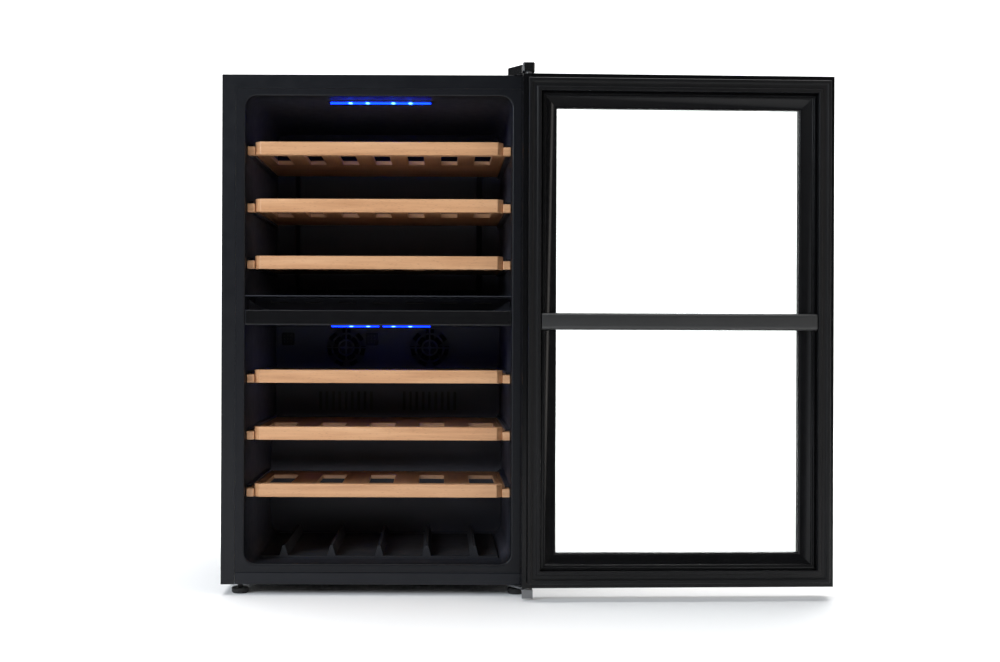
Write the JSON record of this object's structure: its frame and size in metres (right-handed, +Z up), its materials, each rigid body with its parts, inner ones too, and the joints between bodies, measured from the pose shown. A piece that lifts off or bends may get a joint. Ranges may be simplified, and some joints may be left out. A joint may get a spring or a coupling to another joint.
{
  "type": "wine cooler",
  "caption": "Freestanding dual-zone wine cooler: black cabinet, glazed door open to the right, sliding beech shelves, insulated divider, blue lamps.",
  "frame": {"origin": "on the floor, under the middle of the cabinet's front face", "axes": "+X to the right seen from the front, +Y to the back, +Z up; drawn with the door open 182.5 degrees"},
  "size_m": [0.9693, 0.574, 0.844],
  "materials": {
    "black_steel": "satin",
    "galvanised_steel": "satin",
    "black_plastic": "satin",
    "foam": "matte",
    "gloss_black_plastic": "gloss",
    "aluminium_fin": "satin",
    "lamp_blue": "gloss",
    "black_enamel": "satin",
    "rubber": "matte",
    "copper": "satin",
    "door_black": "gloss",
    "clear_glass": "gloss",
    "spacer_black": "satin",
    "steel_handle": "satin",
    "bush_plastic": "satin",
    "beech": "satin"
  },
  "bodies": {
    "cabinet": {"outer_shell": "black_steel", "back_panel": "galvanised_steel", "base_pan": "black_steel", "bottom_front_rail": "black_plastic", "inner_liner": "black_plastic", "insulation_foam": "foam", "zone_divider": "black_plastic", "divider_grille": "black_plastic", "control_panel": "gloss_black_plastic", "lower_evaporator_cover": "black_plastic", "upper_evaporator_cover": "black_plastic", "lower_evaporator": "aluminium_fin", "upper_evaporator": "aluminium_fin", "fan_motors": "black_plastic", "sensor_covers": "black_plastic", "lamp_housings": "black_plastic", "lamp_lenses": "lamp_blue", "floor_rack": "black_plastic", "top_hinge_plate": "galvanised_steel", "top_hinge_cover": "gloss_black_plastic", "bottom_hinge_bracket": "galvanised_steel", "hinge_pins": "galvanised_steel", "hinge_screws": "galvanised_steel", "compressor": "black_enamel", "compressor_grommets": "rubber", "terminal_cover": "black_plastic", "drip_tray": "black_plastic", "filter_drier": "copper", "refrigerant_pipes": "copper", "power_inlet": "black_plastic", "condenser_tube": "black_enamel", "condenser_wires": "black_enamel", "condenser_clips": "black_plastic"},
    "door": {"door_frame": "door_black", "outer_glass": "clear_glass", "inner_glass": "clear_glass", "glass_spacer": "spacer_black", "door_inner_frame": "door_black", "door_gasket": "rubber", "zone_seal_bar": "black_plastic", "door_handle": "steel_handle", "hinge_bushes": "bush_plastic"},
    "shelf_1": {"shelf_1_trim": "beech", "shelf_1_board": "beech"},
    "shelf_2": {"shelf_2_trim": "beech", "shelf_2_board": "beech"},
    "shelf_3": {"shelf_3_trim": "beech", "shelf_3_board": "beech"},
    "shelf_4": {"shelf_4_trim": "beech", "shelf_4_board": "beech"},
    "shelf_5": {"shelf_5_trim": "beech", "shelf_5_board": "beech"},
    "shelf_6": {"shelf_6_trim": "beech", "shelf_6_board": "beech"},
    "left_fan": {"left_fan_rotor": "black_plastic"},
    "right_fan": {"right_fan_rotor": "black_plastic"},
    "front_left_foot": {"front_left_foot": "black_plastic"},
    "front_right_foot": {"front_right_foot": "black_plastic"},
    "rear_left_foot": {"rear_left_foot": "black_plastic"},
    "rear_right_foot": {"rear_right_foot": "black_plastic"}
  },
  "joints": [
    {"name": "door_hinge", "type": "hinge", "parent": "cabinet", "child": "door", "pos_m": [0.2365, -0.028, 0.42], "axis": [0, 0, 1], "range_deg": [-182.5, 0]},
    {"name": "shelf_1_slide", "type": "slide", "parent": "cabinet", "child": "shelf_1", "axis": [0, -1, 0], "range_m": [0, 0.18]},
    {"name": "shelf_2_slide", "type": "slide", "parent": "cabinet", "child": "shelf_2", "axis": [0, -1, 0], "range_m": [0, 0.22]},
    {"name": "shelf_3_slide", "type": "slide", "parent": "cabinet", "child": "shelf_3", "axis": [0, -1, 0], "range_m": [0, 0.22]},
    {"name": "shelf_4_slide", "type": "slide", "parent": "cabinet", "child": "shelf_4", "axis": [0, -1, 0], "range_m": [0, 0.22]},
    {"name": "shelf_5_slide", "type": "slide", "parent": "cabinet", "child": "shelf_5", "axis": [0, -1, 0], "range_m": [0, 0.22]},
    {"name": "shelf_6_slide", "type": "slide", "parent": "cabinet", "child": "shelf_6", "axis": [0, -1, 0], "range_m": [0, 0.22]},
    {"name": "left_fan_spin", "type": "hinge", "parent": "cabinet", "child": "left_fan", "pos_m": [-0.079, 0.422, 0.39], "axis": [0, 1, 0], "continuous": true},
    {"name": "right_fan_spin", "type": "hinge", "parent": "cabinet", "child": "right_fan", "pos_m": [0.079, 0.422, 0.39], "axis": [0, 1, 0], "continuous": true},
    {"name": "front_left_foot_turn", "type": "hinge", "parent": "cabinet", "child": "front_left_foot", "pos_m": [-0.222, 0.024, 0.005], "axis": [0, 0, 1], "range_deg": [-360, 360]},
    {"name": "front_right_foot_turn", "type": "hinge", "parent": "cabinet", "child": "front_right_foot", "pos_m": [0.222, 0.024, 0.005], "axis": [0, 0, 1], "range_deg": [-360, 360]},
    {"name": "rear_left_foot_turn", "type": "hinge", "parent": "cabinet", "child": "rear_left_foot", "pos_m": [-0.222, 0.47, 0.005], "axis": [0, 0, 1], "range_deg": [-360, 360]},
    {"name": "rear_right_foot_turn", "type": "hinge", "parent": "cabinet", "child": "rear_right_foot", "pos_m": [0.222, 0.47, 0.005], "axis": [0, 0, 1], "range_deg": [-360, 360]}
  ]
}
